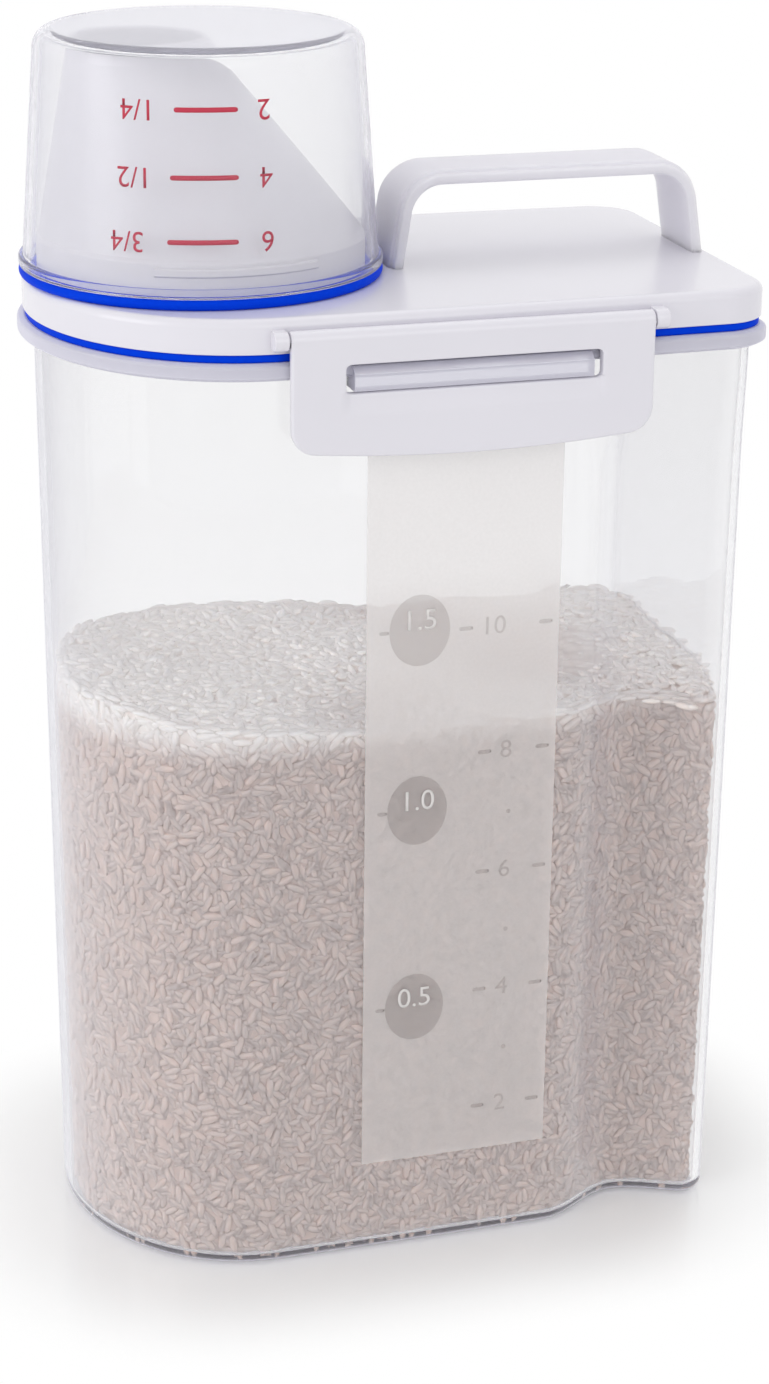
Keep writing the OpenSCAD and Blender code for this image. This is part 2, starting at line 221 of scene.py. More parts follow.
class Finish:
    """One material, or the room's light where it is kept in worlds."""

    def __init__(self, name, kept_in="materials"):
        self.material = getattr(bpy.data, kept_in).new(name)
        self.material.use_nodes = True
        self.tree = self.material.node_tree
        self.tree.nodes.clear()

    def node(self, kind, settings=None, sockets=None, output=0):
        """Adds any node: its type, its settings, and values or links for its sockets."""
        made = self.tree.nodes.new("ShaderNode" + kind)
        for name, value in (settings or {}).items():
            setattr(made, name, value)
        for name, value in (sockets or {}).items():
            if isinstance(value, Value):
                self.tree.links.new(value.socket, made.inputs[name])
            else:
                made.inputs[name].default_value = value
        return Value(self, made.outputs[output] if made.outputs else None)

    def place(self):
        """Position on the piece, in metres."""
        return self.node("TexCoord", output="Object")

    def ray(self, kind):
        """1 for rays of one kind, and 0 for all others."""
        return self.node("LightPath", output="Is " + kind + " Ray")

    def noise(self, scale, detail=2, rough=0.5):
        """Fine irregularity between 0 and 1. scale is in waves to the metre."""
        return self.node("TexNoise", {}, {"Vector": self.place(), "Scale": scale, "Detail": detail,
                                          "Roughness": rough})

    def bump(self, height, strength, depth):
        """Normal for a surface that stands depth millimetres proud where height is 1."""
        return self.node("Bump", {}, {"Height": height, "Strength": strength, "Distance": depth * MM})

    def blend(self, share, first, second):
        """Colour between two colours."""
        return self.node("Mix", {"data_type": "RGBA"}, {0: share, 6: first, 7: second}, 2)

    def wear(self, *pieces):
        """Puts the finish on pieces, or on nodes of the frame."""
        for made in pieces:
            made.data.materials.clear()
            made.data.materials.append(self.material)

    def done(self, shader, output="OutputMaterial"):
        """Closes the finish with its last shader."""
        self.node(output, {}, {"Surface": shader})
        return self


def clear_plastic(name, tint, shadow, roughness, ior, haze, edge_haze, thick=()):
    """Clear plastic that bends light, and lets lamps through to what it holds. haze is its milky share,
    and edge_haze what its edges add. thick lists where it is milkier for being thick, each as an axis,
    the places where that starts and is full, and the share."""
    finish = Finish(name)
    speckle = finish.noise(900, 3)
    waves = finish.noise(26, 1)
    clear = finish.node("BsdfPrincipled", {}, {
        "Base Color": finish.blend(speckle, tint, tuple(c * 0.985 for c in tint[:3]) + (1,)),
        "Roughness": roughness + speckle * roughness,
        "IOR": ior,
        "Transmission Weight": 1,
        "Normal": finish.bump(waves, 0.05, 0.4)})
    milk = finish.node("BsdfPrincipled", {}, {
        "Base Color": (0.70, 0.69, 0.79, 1),
        "Roughness": 0.45,
        "Specular IOR Level": 0.1})
    edge = finish.node("LayerWeight", {}, {"Blend": 0.5}, "Facing")
    thickness = 0
    for axis, start, full, amount in thick:
        away = finish.node("Math", {"operation": "ABSOLUTE"}, {
            0: finish.node("SeparateXYZ", {}, {0: finish.place()}, axis)})
        zone = finish.node("MapRange", {"interpolation_type": "SMOOTHSTEP"}, {
            "Value": away, "From Min": start * MM, "From Max": full * MM})
        thickness = finish.node("Math", {"operation": "MAXIMUM"}, {0: thickness, 1: amount * zone})
    share = haze + edge_haze * edge * edge * edge + thickness
    body = finish.node("MixShader", {}, {0: share, 1: clear, 2: milk})
    through = finish.node("BsdfTransparent", {}, {"Color": shadow})
    lamp = finish.ray("Shadow")
    return finish.done(finish.node("MixShader", {}, {0: lamp, 1: body, 2: through}))


def wall_inset(z):
    """How far the wall stands in from the outline at height z."""
    return wall_inset_top + (flange_z - z) * draft


def waist_depth(z):
    """Depth of the grip waist at height z, which fades out under the flange."""
    return grip_depth * (1 - float(smooth((z - flange_z + grip_fade) / (grip_fade - wall))))


inner_top = wall_inset_top + wall
tub_profile = rounded([
    (wall_inset(0) + base_radius, 0, 0),
    (wall_inset(0), 0, base_radius),
    (wall_inset_top, flange_z, 0.3),
    (0, flange_z + 0.3, 0.3),
    (-flange_out, flange_z + 1, 0.5),
    (-flange_out, rim_z - 0.6, 0.8),
    (seal_gap, rim_z, 0.3),
    (inner_top, rim_z, 0.3),
    (inner_top, flange_z, 0),
    (wall_inset(0) + wall, floor_thickness, base_radius - wall),
    (wall_inset(0) + wall + 4, floor_thickness, 0)], closed=False, steps=8)
tub = skin([ring(z, inset, waist_depth(z)) for inset, z in finer(tub_profile, 3)])

pivot_z = 232.8
pivot_y = 54.1
latch_x = 8
latch_thickness = 2.2
slot_width = 60
slot_height = 6.6
slot_drop = 5.7
rib_length = slot_width - 4
rib_root = half_width - wall_inset_top - 1
rib_tip = pivot_y + latch_thickness - 0.2
rib_low = slot_drop + slot_height - 0.3
rib_high = math.hypot(slot_drop, latch_thickness) + 0.3
rib_section = rounded([
    (rib_root, -rib_low, 0),
    (pivot_y, -rib_low, 0.3),
    (rib_tip, -math.sqrt(rib_low ** 2 - (rib_tip - pivot_y) ** 2), 0.3),
    (rib_tip, -rib_high - 1.6, 0.3),
    (pivot_y, -rib_high, 0.3),
    (rib_root, -rib_high, 0)])


def catch_rib(side):
    """Clear rib under the flange, on the front (-1) or the back (1)."""
    ends = [latch_x - rib_length / 2, latch_x + rib_length / 2]
    return skin([np.array([(x, side * y, pivot_z + z) for y, z in rib_section]) for x in ends])


rib_face = half_width - wall_inset_top + 0.4
clear_tub = clear_plastic(
    "clear_styrene", tint=(0.985, 0.985, 0.988, 1), shadow=(0.985, 0.985, 0.985, 1),
    roughness=0.012, ior=1.45, haze=0.025, edge_haze=0.6, thick=[
        ("Z", flange_z - 0.6, flange_z + 0.6, 0.75),
        ("Y", rib_face, rib_face + 1.2, 0.75),
        ("Z", floor_thickness + 0.2, 0.6, 0.55)])
container = piece("container_tub", [tub, catch_rib(-1), catch_rib(1)], root)
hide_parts("container")
clear_tub.wear(container)

# Level scale: a frosted panel printed on the outside of the front wall. Over it lie the level marks in
# warm grey: three discs with the weights left clear, and figures between two dashes for the measures.
scale_film_out = 0.32
frosted = Finish("frosted_panel")
cloud = frosted.noise(1400, 3)
matt = frosted.node("BsdfPrincipled", {}, {
    "Base Color": frosted.blend(cloud, (0.92, 0.875, 0.865, 1), (0.96, 0.92, 0.91, 1)),
    "Roughness": 0.55})
blurred = frosted.node("BsdfPrincipled", {}, {
    "Base Color": (0.995, 0.995, 0.995, 1),
    "Roughness": 0.4,
    "IOR": 1.12,
    "Transmission Weight": 1})
film_through = frosted.node("BsdfTransparent", {}, {"Color": (0.98, 0.98, 0.98, 1)})
hazy = frosted.node("MixShader", {}, {0: 0.68, 1: blurred, 2: film_through})
film = frosted.node("MixShader", {}, {0: 0.24 + cloud * 0.06, 1: hazy, 2: matt})
film_lamp = frosted.ray("Shadow")
frosted.done(frosted.node("MixShader", {}, {0: film_lamp, 1: film, 2: film_through}))
frosted.wear(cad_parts["level_scale"])


def flat_figures(text, height, across, up, turned=False):
    """Flat points and faces of plain figures, centred on (across, up), upside down if turned."""
    letters = bpy.data.curves.new("figures", "FONT")
    letters.body = text
    letters.align_x = "CENTER"
    letters.align_y = "CENTER"
    letters.size = height / 0.73
    holder = bpy.data.objects.new("figures", letters)
    mesh = bpy.data.meshes.new_from_object(holder)
    way = -1 if turned else 1
    points = [(across + way * v.co.x, up + way * v.co.y) for v in mesh.vertices]
    faces = [tuple(face.vertices) for face in mesh.polygons]
    bpy.data.objects.remove(holder)
    bpy.data.meshes.remove(mesh)
    return points, faces


def flat_bar(across, up, length, thickness, steps=12):
    """Flat bar with rounded ends, cut across so that it can follow a round wall."""
    half = thickness / 2
    xs = np.linspace(-length / 2 + half, length / 2 - half, steps + 1)
    top = [(across + x, up + half) for x in xs]
    low = [(across + x, up - half) for x in xs]
    turn = np.linspace(np.pi / 2, -np.pi / 2, 7)[1:-1]
    right = [(across + xs[-1] + half * math.cos(a), up + half * math.sin(a)) for a in turn]
    left = [(across + xs[0] - half * math.cos(a), up + half * math.sin(a)) for a in turn]
    points = top + low + right + left
    n = steps + 1
    faces = [(k, n + k, n + k + 1, k + 1) for k in range(steps)]
    faces.append((steps, *range(2 * n + 4, 2 * n - 1, -1), n + steps)[::-1])
    faces.append((0, *range(2 * n + 5, 2 * n + 10), n))
    return points, faces


def flat_disc(across, up, half_across, half_up, steps=48):
    """Flat oval disc cut into rings, so that it can follow a round wall."""
    points = [(across, up)]
    for share in (0.5, 1):
        points += [(across + share * half_across * math.cos(a), up + share * half_up * math.sin(a))
                   for a in np.linspace(0, 2 * np.pi, steps, endpoint=False)]
    faces = [(0, 1 + k, 1 + (k + 1) % steps) for k in range(steps)]
    faces += [(1 + k, 1 + steps + k, 1 + steps + (k + 1) % steps, 1 + (k + 1) % steps) for k in range(steps)]
    return points, faces


def print_on(name, marks, place, body, thickness=0.04):
    """A thin print: flat marks laid on a wall. place(u, v) is the point on the wall."""
    solids = [(np.array([place(u, v) for u, v in points]), faces) for points, faces in marks]
    made = piece(name, solids, body)
    made.modifiers.remove(made.modifiers["even_normals"])
    depth = made.modifiers.new("ink", "SOLIDIFY")
    depth.thickness = thickness * MM
    depth.offset = 0
    return made


def on_panel(lift):
    """Place on the panel's face, lift millimetres in front of it."""
    return lambda x, z: (x, -side_y(x, wall_inset(z)) - scale_film_out - lift, z)


weights = [("1.5", 161.7), ("1.0", 116.8), ("0.5", 65.6)]
weight_x = -2.3
disc_half_width = 7.35
disc_half_height = 8.7
measures = [("10", 15.7, 161.1, 9), ("8", 19.5, 129.9, 14.2), ("6", 19.8, 99.2, 14.3),
            ("4", 19.9, 68.1, 14.2), ("2", 20.1, 36.4, 14.4)]
right_dash_x = 28.6
dash_length = 3.4
dots = [(20.5, 114.1), (20.6, 83.3), (20.8, 51.7)]
grey_marks = []
for _, z in weights:
    grey_marks.append(flat_disc(weight_x, z, disc_half_width, disc_half_height))
    grey_marks.append(flat_bar(weight_x - 8.6, z, 2.4, 0.9))
for text, x, z, left_dash_x in measures:
    grey_marks.append(flat_figures(text, 4.6, x, z))
    grey_marks.append(flat_bar(left_dash_x, z, dash_length, 1))
    grey_marks.append(flat_bar(right_dash_x, z, dash_length, 1))
for x, z in dots:
    grey_marks.append(flat_disc(x, z, 0.6, 0.6, 12))
clear_figures = [flat_figures(text, 5.2, weight_x, z + 2.3) for text, z in weights]

grey_print = print_on("scale_marks", grey_marks, on_panel(0.05), root)
pale_print = print_on("scale_figures", clear_figures, on_panel(0.12), root)


def ink(name, colour, roughness, alpha=1.0):
    """Printing ink: thin, slightly uneven."""
    finish = Finish(name)
    grain = finish.noise(2600, 2)
    darker = tuple(c * 0.93 for c in colour[:3]) + (1,)
    return finish.done(finish.node("BsdfPrincipled", {}, {
        "Base Color": finish.blend(grain, darker, colour),
        "Roughness": roughness + grain * 0.1,
        "Alpha": alpha - grain * 0.05,
        "Normal": finish.bump(grain, 0.1, 0.02)}))


ink("grey_ink", (0.30, 0.22, 0.20, 1), roughness=0.5, alpha=0.12).wear(grey_print)
ink("pale_ink", (0.94, 0.91, 0.90, 1), roughness=0.5, alpha=0.8).wear(pale_print)

# Rice: loose long grains that fill the tub a little over half. The heap is one body, and single grains
# lie against the walls and over its top. It is what the bin holds, and isn't part of the bin.
rice_gap = 0.4
grain_length = 6.2
grain_width = 2.2
grain_thickness = 1.5
rng = np.random.default_rng(7)


def rice_top(x, y):
    """Height of the rice: a shallow dip along the front, with small humps."""
    slope = 136.8 - 0.02 * (x + 7) + 0.0005 * (x - 20) ** 2 + 0.01 * y
    humps = 0.9 * np.sin(x * 0.09 + y * 0.05 + 1) + 0.7 * np.sin(x * 0.05 - y * 0.11 + 2)
    return slope + humps


def rice_wall(z, extra=0.0):
    """Outline of the rice at height z, clear of the tub's inner wall."""
    corner = base_radius - wall
    low = max(0.0, corner - (z - floor_thickness - 0.2))
    inset = wall_inset(z) + wall + rice_gap + extra + low * low / corner / 2
    return outline(inset, waist_depth(z))


heap_sink = 0.9
brim_z = 136
shoulder = 0.985
shoulder_width = 0.015
shoulder_drop = 3.2
heap_levels = [floor_thickness + 0.4, floor_thickness + 1, floor_thickness + 2.5]
heap_levels += list(np.linspace(8, 124, 24))
heap_rings = [lifted(rice_wall(z, heap_sink), z) for z in heap_levels]
brim = rice_wall(brim_z, heap_sink)
for share in (1, shoulder, 0.96, 0.92, 0.86, 0.79, 0.71, 0.62, 0.52, 0.42, 0.31, 0.2, 0.1):
    flat = brim * share
    drop = shoulder_drop * max(0.0, (share - shoulder) / shoulder_width) + heap_sink
    heap_rings.append(lifted(flat, rice_top(flat[:, 0], flat[:, 1]) - drop))
heap = piece("rice_heap", [skin(heap_rings)], root)


def grain_shape():
    """Points and faces of one grain of unit half length and unit half width."""
    sides = 6
    points = [(-1, 0, 0)]
    for along, r in ((-0.62, 0.8), (0, 1), (0.62, 0.78)):
        points += [(along, r * math.cos(2 * math.pi * k / sides), r * math.sin(2 * math.pi * k / sides))
                   for k in range(sides)]
    points.append((1, 0, 0))
    tip = len(points) - 1
    faces = [(0, 1 + (k + 1) % sides, 1 + k) for k in range(sides)]
    for band in (0, 1):
        a = 1 + band * sides
        b = a + sides
        faces += [(a + k, a + (k + 1) % sides, b + (k + 1) % sides, b + k) for k in range(sides)]
    faces += [(tip, 1 + 2 * sides + k, 1 + 2 * sides + (k + 1) % sides) for k in range(sides)]
    return np.array(points), faces


def grain(centre, along, out, size):
    """One grain at centre, lying along one direction with its flat side towards out."""
    across = np.cross(out, along)
    half = np.array([grain_length / 2, grain_width / 2, grain_thickness / 2]) * size
    local = grain_points * half
    return centre + local[:, :1] * along + local[:, 1:2] * across + local[:, 2:] * out


def spread(normal, lean):
    """A random direction along a surface, leaning a little in or out of it."""
    helper = np.array([0.0, 0.0, 1.0]) if abs(normal[2]) < 0.9 else np.array([1.0, 0.0, 0.0])
    u = np.cross(normal, helper)
    u /= np.linalg.norm(u)
    v = np.cross(normal, u)
    turn = rng.uniform(0, 2 * np.pi)
    along = math.cos(turn) * u + math.sin(turn) * v + rng.normal(0, lean) * normal
    along /= np.linalg.norm(along)
    out = normal - (normal @ along) * along
    return along, out / np.linalg.norm(out)


grain_points, grain_faces = grain_shape()
wall_grains = {"rice_front_left": [], "rice_front_right": [], "rice_back_left": [], "rice_back_right": []}
top_grains = []
cell = 1.9
shake = 1.2
smallest = 0.86
largest = 1.06
wall_lean = 0.06
top_lean = 0.2
round_end_x = -60
bent_wall_gap = 0.35
straight_wall_gap = 0.1
lowest_row = floor_thickness + 1.4
next_row = floor_thickness + 2.2
highest_row = 146
for z_row in [lowest_row, *np.arange(next_row, highest_row, cell)]:
    edge = rice_wall(z_row, grain_thickness / 2)
    closed = np.vstack([edge, edge[:1]])
    stretch = np.hypot(*np.diff(closed, axis=0).T)
    run = np.concatenate([[0], np.cumsum(stretch)])
    for s in np.arange(rng.uniform(0, cell), run[-1], cell):
        s = (s + rng.uniform(-shake, shake)) % run[-1]
        z = z_row + rng.uniform(-shake, shake)
        k = min(np.searchsorted(run, s, side="right") - 1, len(edge) - 1)
        x, y = closed[k] + (closed[k + 1] - closed[k]) * (s - run[k]) / stretch[k]
        tangent = (closed[k + 1] - closed[k]) / stretch[k]
        normal = np.array([tangent[1], -tangent[0], 0])
        along, out = spread(normal, wall_lean)
        if z_row == lowest_row:
            z = z_row
            along = np.array([*tangent, 0])
            out = normal
        if z + abs(along[2]) * grain_length / 2 > rice_top(x, y) + 0.5:
            continue
        wall_gap = bent_wall_gap if x > corner_x - 2 or x < round_end_x else straight_wall_gap
        bend = abs(along @ np.array([*tangent, 0])) * wall_gap
        centre = np.array([x, y, max(z, lowest_row)]) - normal * (bend + rng.uniform(0, 0.6))
        group = ("rice_front" if y < 0 else "rice_back") + ("_left" if x < 0 else "_right")
        wall_grains[group].append(grain(centre, along, out, rng.uniform(smallest, largest)))
top_edge = rice_wall(brim_z, 1)
for x in np.arange(-78, 80, cell):
    for y in np.arange(-48, 49, cell):
        spot = np.array([x, y]) + rng.uniform(-shake, shake, 2)
        gaps = np.hypot(*(top_edge - spot).T)
        nearest = np.argmin(gaps)
        if np.hypot(*spot) > np.hypot(*top_edge[nearest]):
            continue
        along, out = spread(np.array([0.0, 0.0, 1.0]), top_lean)
        if gaps[nearest] < grain_length / 2:
            beside = top_edge[(nearest + 1) % len(top_edge)] - top_edge[nearest - 1]
            along = np.array([*beside, 0]) / np.hypot(*beside)
            out = np.array([0.0, 0.0, 1.0])
        z = rice_top(*spot) - rng.uniform(0.2, 0.8)
        top_grains.append(grain(np.array([*spot, z]), along, out, rng.uniform(smallest, largest)))
grain_pieces = []
for name, group in [*wall_grains.items(), ("rice_top", top_grains)]:
    made = piece(name, [(points, grain_faces) for points in group], root, sharp=100)
    made.modifiers.remove(made.modifiers["even_normals"])
    grain_pieces.append(made)


def rice_finish(name, colour, painted_shade_and_mottle):
    """Milled rice: matt and warm grey. Near the top it is painted paler and glows faintly: painted light
    standing in for the light that comes through the thin layers there. pits gives how much the colour
    darkens, by painted shade and mottle."""
    finish = Finish(name)
    patch = finish.noise(420, 2)
    # Painted light: near the top the colour turns paler and the rice glows faintly.
    height = finish.node("SeparateXYZ", {}, {0: finish.place()}, "Z")
    painted_top_light = finish.node("MapRange", {"interpolation_type": "SMOOTHSTEP"}, {
        "Value": height, "From Min": 0.130, "From Max": 0.139})
    darker = tuple(c * 0.86 for c in colour[:3]) + (1,)
    tone = finish.blend(painted_top_light, finish.blend(patch, darker, colour), (0.97, 0.935, 0.91, 1))
    # The pits share darkens the colour towards 0.55 of itself: painted shade between grains, and random
    # mottle.
    return finish.done(finish.node("BsdfPrincipled", {}, {
        "Base Color": finish.blend(painted_shade_and_mottle(finish), tone, tuple(c * 0.55 for c in colour[:3]) + (1,)),
        "Roughness": 0.5 + patch * 0.15,
        "Specular IOR Level": 0.25,
        "Subsurface Weight": 0.5,
        "Subsurface Radius": (1, 0.85, 0.75),
        "Subsurface Scale": 0.0015,
        "Emission Color": finish.blend(painted_top_light, (0, 0, 0, 1), (1, 0.95, 0.93, 1)),
        "Emission Strength": 0.1,
        "Normal": finish.bump(finish.noise(1500, 2), 0.15, 0.1)}))


rice_colour = (0.90, 0.73, 0.675, 1)
# On single grains the darkening is a random mottle.
rice_finish("rice", rice_colour, lambda finish: 0.12 * finish.noise(60, 3)).wear(*grain_pieces)
# On the heap it is painted shade in the crevices between grains, from a cell pattern.
rice_finish("deep_rice", rice_colour, lambda finish: 0.5 * finish.node(
    "TexVoronoi", {"feature": "F1"}, {"Vector": finish.place(), "Scale": 330}, "Distance")).wear(heap)

# Lid gasket: a moulded band of blue silicone that lies on the rim, with a lip up inside the lid's
# channel. Only the band's edge shows between the lid and the rim.
skirt_z = 229.5
lid_z = 237.3
skirt_thickness = 2
plug_inset = 4.6
gasket_lip = 3
gasket_in = plug_inset - seal_gap
gasket_profile = rounded([
    (0.5, rim_z, 0.5),
    (0.5, skirt_z, 0.5),
    (skirt_thickness + seal_gap, skirt_z, 0),
    (skirt_thickness + seal_gap, skirt_z + gasket_lip, 0.5),
    (gasket_in, skirt_z + gasket_lip, 0.5),
    (gasket_in, rim_z, 0)])
gasket = piece("lid_gasket", [skin([ring(z, inset) for inset, z in gasket_profile], True)], root)
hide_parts("lid_seal")

silicone = Finish("blue_silicone")
mottle = silicone.noise(700, 2)
silicone.done(silicone.node("BsdfPrincipled", {}, {
    "Base Color": silicone.blend(mottle, (0, 0.042, 0.68, 1), (0, 0.056, 0.78, 1)),
    "Roughness": 0.45 + mottle * 0.1,
    "Specular IOR Level": 0.03,
    "Normal": silicone.bump(mottle, 0.12, 0.05)}))
silicone.wear(gasket)

# Lid: white polypropylene, moulded in one piece. It has a rounded top edge, a skirt, a plug wall that
# enters the tub, a round hole for the spout and two pairs of ears that hold the latches' pins.
lid_thickness = 2
lid_edge = 2
plug_thickness = 1.4
plug_low = rim_z - 4
ceiling = lid_z - lid_thickness
spout_x = -41.1
hole_radius = 36
pocket_y = pivot_y - latch_thickness - 0.4
latch_width = 85
ear_gap = 0.3
ear_width = 3.3


def circle(x, z, radius, count=192):
    """Level ring of points round (x, 0)."""
    turn = np.linspace(0, 2 * np.pi, count, endpoint=False)
    return np.column_stack([x + radius * np.cos(turn), radius * np.sin(turn), np.full(count, z)])


def hole_ring(z):
    """The spout's hole, with a point for each point of the outline."""
    away = outline(plug_inset + plug_thickness) - [spout_x, 0]
    spot = away / np.hypot(*away.T)[:, None] * hole_radius + [spout_x, 0]
    spot[:, 0] = np.maximum(spot[:, 0], plug_inset + plug_thickness + 0.1 - half_length)
    return lifted(spot, z)


def lid_ring(z, inset):
    """The outline, flattened behind each latch's roll."""
    made = ring(z, inset)
    near_latch = np.abs(made[:, 0] - latch_x) < latch_width / 2 + ear_gap
    behind = near_latch & (z < ceiling) & (inset < skirt_thickness)
    made[behind, 1] = np.clip(made[behind, 1], -pocket_y, pocket_y)
    return made


lid_profile = rounded([
    (plug_inset + plug_thickness, ceiling, 0),
    (plug_inset + plug_thickness, plug_low, 0.4),
    (plug_inset, plug_low, 0.4),
    (plug_inset, ceiling, 0.4),
    (skirt_thickness, ceiling, 0.4),
    (skirt_thickness, skirt_z, 0),
    (0, skirt_z, 0.3),
    (0, lid_z, lid_edge),
    (lid_edge + 0.6, lid_z, 0)], closed=False, steps=8)
lid_rings = [hole_ring(ceiling)] + [lid_ring(z, inset) for inset, z in lid_profile] + [hole_ring(lid_z)]


def ear(x, side):
    """Ear on the lid's skirt: a round boss on the pin's axis with a foot that runs into the skirt."""
    foot = pivot_y - side_y(max(x, round_x), skirt_thickness / 2)
    turn = np.linspace(-np.pi / 2, np.pi / 2, 13)
    section = [(-latch_thickness * math.cos(a), latch_thickness * math.sin(a)) for a in turn]
    section += [(foot, latch_thickness), (foot, -latch_thickness)]
    bevel = [(0, 0.3), (0.1, 0.1), (0.3, 0)]
    rings = []
    for out, shrink in bevel + [(ear_width - out, shrink) for out, shrink in reversed(bevel)]:
        keep = 1 - shrink / latch_thickness
        rings.append(np.array([(x - ear_width / 2 + out, side * (pivot_y - u * keep), pivot_z + v * keep)
                               for u, v in section]))
    return skin(rings)


ear_places = [latch_x + end * (latch_width / 2 + ear_gap + ear_width / 2) for end in (-1, 1)]
ears = [ear(x, side) for x in ear_places for side in (-1, 1)]
lid = piece("lid_shell", [skin(lid_rings, True)] + ears, root)
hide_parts("lid")


def white_plastic(name, colour, roughness, coat, glow=0):
    """White moulded plastic: satin, with a faint orange-peel from the mould. glow is how much light it
    spreads inside, which shows where it is thin."""
    finish = Finish(name)
    fine = finish.noise(2200, 2)
    wide = finish.noise(45, 2)
    darker = tuple(c * 0.965 for c in colour[:3]) + (1,)
    return finish.done(finish.node("BsdfPrincipled", {}, {
        "Base Color": finish.blend(wide, darker, colour),
        "Roughness": roughness + fine * 0.06,
        "Coat Weight": coat,
        "Coat Roughness": 0.08,
        "Subsurface Weight": glow,
        "Subsurface Radius": (1, 1, 1),
        "Subsurface Scale": 0.01,
        "Normal": finish.bump(fine, 0.06, 0.02)}))


lid_white = white_plastic("white_polypropylene", (0.795, 0.78, 0.84, 1), roughness=0.22, coat=0.2)
lid_white.wear(lid)

# Pour spout: white polypropylene. A skirt snaps into the lid's hole, a round collar stands on the lid,
# and a slanted cone leads to the mouth. Two low lugs on the collar hold the cup by a snap.
collar_radius = 38
collar_height = 10.4
spout_wall = 1.6
mouth_z = lid_z + 53.2
mouth_radius = 15.7
mouth_shift = 14.3
cone_z = lid_z + collar_height
snap_skirt = collar_radius - 2 - 0.2
lug_height = 2.6
lug_out = 0.7
lug_arc = 58


def axis_x(z):
    """Middle of the spout at height z: upright in the collar, then leaning to the round end."""
    return spout_x - mouth_shift * min(1, max(0, (z - cone_z) / (mouth_z - cone_z)))


spout_profile = rounded([
    (snap_skirt, lid_z - 4, 0.4),
    (snap_skirt, lid_z, 0),
    (collar_radius, lid_z, 0),
    (collar_radius, cone_z - 0.9, 1),
    (collar_radius - 0.6, cone_z, 0.4),
    (mouth_radius, mouth_z, 0.7),
    (mouth_radius - spout_wall, mouth_z, 0.6),
    (collar_radius - 1.2 - spout_wall, cone_z - spout_wall, 2),
    (collar_radius - 2 - spout_wall, lid_z, 1),
    (collar_radius - 2 - spout_wall, lid_z - 4, 0.4)])
spout_rings = [circle(axis_x(z), z, r) for r, z in finer(spout_profile + spout_profile[:1], 6)[:-1]]


def lug(middle):
    """Low lug on the collar, with its middle at an angle in degrees."""
    base = cone_z - 1.4 - lug_height
    section = rounded([
        (collar_radius - 0.4, base, 0),
        (collar_radius + lug_out, base + 0.5, 0.4),
        (collar_radius + lug_out, base + lug_height - 0.5, 0.4),
        (collar_radius - 0.4, base + lug_height, 0)])
    turn = np.radians(middle + np.linspace(-lug_arc / 2, lug_arc / 2, 33))
    return skin([np.array([(spout_x + r * math.cos(a), r * math.sin(a), z) for r, z in section])
                 for a in turn])


spout = piece("spout_cone", [skin(spout_rings, True), lug(-90), lug(90)], root)
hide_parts("pour_spout")
# Painted shade: the spout's colour is the lid's white made darker, for the shade it is in under the cup.
spout_white_painted_shade = white_plastic("white_spout_plastic_painted_shade", (0.69, 0.68, 0.72, 1), roughness=0.3, coat=0.05)
spout_white_painted_shade.wear(spout)

# Cup seal: a ring of the same blue silicone round the foot of the collar. The cup's rim rests on it.
seal_ring_radius = 42.2
seal_ring_thickness = 2.5
cup_z = lid_z + seal_ring_thickness
seal_ring_profile = rounded([
    (collar_radius + 0.02, lid_z, 0.2),
    (seal_ring_radius, lid_z, 1.2),
    (seal_ring_radius, cup_z, 1.2),
    (collar_radius + 0.02, cup_z, 0.2)])
seal_ring = piece("cup_seal", [skin([circle(spout_x, z, r) for r, z in seal_ring_profile], True)], root)
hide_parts("cup_seal_ring")
silicone.wear(seal_ring)

# Measuring cup: clear, faintly hazy plastic, turned upside down over the spout as its cap. It has a
# rim flange, a rounded bottom edge and printed marks in red, which stand on their heads while it is on.
cup_height = 53.7
cup_open = 41.2
cup_base = 37.4
cup_wall = 1.6
cup_base_thickness = 1.8
cup_edge = 4.4
cup_flange = 2.3
cup_flat = cup_base - 8
cup_top = cup_z + cup_height
cup_profile = rounded([
    (cup_flat, cup_top - cup_base_thickness, 0),
    (cup_base - cup_wall, cup_top - cup_base_thickness, cup_edge - cup_wall),
    (cup_open - cup_wall, cup_z, 0.3),
    (seal_ring_radius, cup_z, 0.5),
    (seal_ring_radius, cup_z + cup_flange, 0.6),
    (cup_open, cup_z + cup_flange, 0.2),
    (cup_base, cup_top, cup_edge),
    (cup_flat, cup_top, 0)], closed=False, steps=10)
cup = piece("cup_wall", [skin([circle(spout_x, z, r) for r, z in cup_profile])], "cup")
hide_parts("measuring_cup")
clear_cup = clear_plastic(
    "clear_cup_plastic", tint=(0.985, 0.985, 0.988, 1), shadow=(0.975, 0.975, 0.98, 1),
    roughness=0.02, ior=1.2, haze=0.05, edge_haze=0.5)
clear_cup.wear(cup)

cup_mark_turn = math.radians(-102)


def on_cup(u, z):
    """Place just outside the cup's wall, u millimetres round from the middle of the marks."""
    radius = cup_open - (cup_open - cup_base) * (z - cup_z) / cup_height
    turn = cup_mark_turn + u / radius
    radius += 0.06
    return (spout_x + radius * math.cos(turn), radius * math.sin(turn), z)


cup_rows = [(280.9, 0.5, 14, "1/4", -14.7, "2", 13.4), (266.3, 0, 15.1, "1/2", -15.7, "4", 13.8),
            (252.3, -0.5, 15.8, "3/4", -17.6, "6", 14.1)]
red_marks = []
for z, bar_u, length, left, left_u, right, right_u in cup_rows:
    red_marks.append(flat_bar(bar_u, z, length, 1.1))
    red_marks.append(flat_figures(left, 4.7, left_u, z, True))
    red_marks.append(flat_figures(right, 4.7, right_u, z, True))
red_print = print_on("cup_marks", red_marks, on_cup, "cup")
ink("red_ink", (0.58, 0.03, 0.07, 1), roughness=0.35).wear(red_print)

